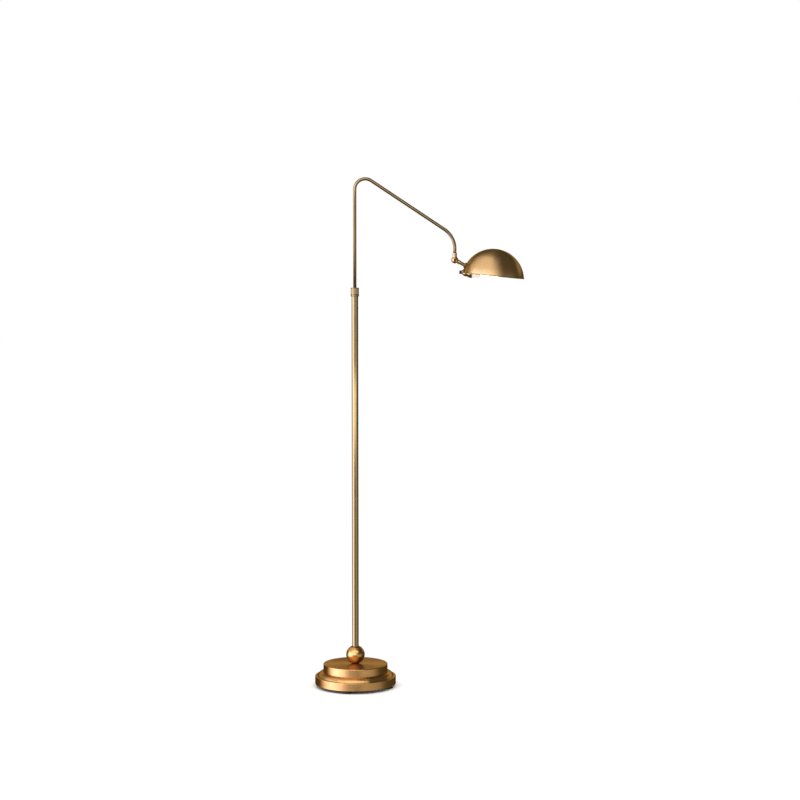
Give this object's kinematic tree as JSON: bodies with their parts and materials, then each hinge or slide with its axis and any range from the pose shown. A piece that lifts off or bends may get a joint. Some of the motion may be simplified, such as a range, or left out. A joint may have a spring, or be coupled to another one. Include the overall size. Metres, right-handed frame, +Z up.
{
  "type": "swing arm floor lamp",
  "caption": "Floor lamp with a weighted round base, a straight pole, a riser that slides, turns and bends over into the arm, and a small dome shade on a ball knuckle.",
  "frame": {"origin": "the pole's axis where it meets the floor", "axes": "+Z up along the pole, +X from the pole towards the arm's end at rest, +Y to the rear where the cord enters"},
  "size_m": [0.6011, 0.2361, 1.4679],
  "materials": {
    "antique_brass": "brushed antique brass under clear lacquer",
    "dark_brass": "aged brass, dark in its slot",
    "bare_brass": "bare rolled brass",
    "cast_iron": "raw sand-cast iron",
    "black_paint": "black powder coat",
    "black_rubber": "moulded black rubber",
    "zinc_steel": "zinc-plated steel",
    "bush_steel": "turned steel",
    "white_nylon": "moulded nylon",
    "terminal_plastic": "moulded white plastic",
    "lead_sheath": "pale insulated lead",
    "friction_fibre": "dark fibre washer",
    "porcelain": "glazed white porcelain",
    "cap_metal": "rolled aluminium cap",
    "cap_solder": "dull solder",
    "lit_glass": "frosted glass, lit",
    "black_plastic": "moulded black phenolic"
  },
  "bodies": {
    "stand": {"base_cover": "antique_brass", "base_weight": "cast_iron", "bottom_plate": "black_paint", "foot_pads": "black_rubber", "plate_screws": "zinc_steel", "cord_bush": "black_rubber", "terminal_block": "terminal_plastic", "terminal_screw": "zinc_steel", "base_lead": "lead_sheath", "threaded_stem": "zinc_steel", "stem_nut": "zinc_steel", "stem_washer": "zinc_steel", "base_ball": "antique_brass", "pole_plug": "zinc_steel", "lower_pole": "antique_brass", "pole_lead": "lead_sheath", "clutch_body": "antique_brass", "collet_ring": "white_nylon"},
    "clutch": {"clutch_nut": "antique_brass"},
    "riser": {"riser_glide": "white_nylon"},
    "arm": {"arm_tube": "antique_brass", "riser_foot_ring": "zinc_steel", "riser_stop_ring": "zinc_steel", "arm_lead": "lead_sheath", "arm_ferrule": "antique_brass", "swivel_bush": "bush_steel"},
    "swivel": {"knuckle_front": "antique_brass", "spindle_clip": "zinc_steel", "friction_washer": "friction_fibre", "knuckle_screw": "dark_brass", "knuckle_nut": "antique_brass"},
    "head": {"knuckle_rear": "antique_brass", "neck_tube": "antique_brass", "neck_lead": "lead_sheath", "saddle_washer": "antique_brass", "shade": "antique_brass", "socket_cup": "antique_brass", "lampholder": "porcelain", "holder_screws": "zinc_steel", "screw_shell": "bare_brass", "centre_contact": "bare_brass", "bulb_cap": "cap_metal", "bulb_contact": "cap_solder", "bulb_glass": "lit_glass", "switch_body": "black_plastic", "switch_ring_nut": "antique_brass"},
    "knob": {"switch_shaft": "zinc_steel", "switch_knob": "black_plastic"}
  },
  "joints": [
    {"name": "clutch_turn", "type": "hinge", "parent": "stand", "child": "clutch", "pos_m": [0, 0, 1.1434], "axis": [0, 0, 1], "range_deg": [-30, 120]},
    {"name": "riser_slide", "type": "slide", "parent": "stand", "child": "riser", "axis": [0, 0, 1], "range_m": [-0.25, 0.06], "deforming": ["pole_lead"]},
    {"name": "arm_swing", "type": "hinge", "parent": "riser", "child": "arm", "pos_m": [0, 0, 1.1434], "axis": [0, 0, 1], "range_deg": [-175, 175]},
    {"name": "knuckle_turn", "type": "hinge", "parent": "arm", "child": "swivel", "pos_m": [0.2855, 0, 1.24749], "axis": [0, 0, 1], "range_deg": [-90, 90]},
    {"name": "shade_tilt", "type": "hinge", "parent": "swivel", "child": "head", "pos_m": [0.2855, 0, 1.23299], "axis": [0, 1, 0], "range_deg": [-50, 35]},
    {"name": "knob_turn", "type": "hinge", "parent": "head", "child": "knob", "pos_m": [0.30716, 0, 1.19786], "axis": [1, 0, 0], "continuous": true}
  ]
}
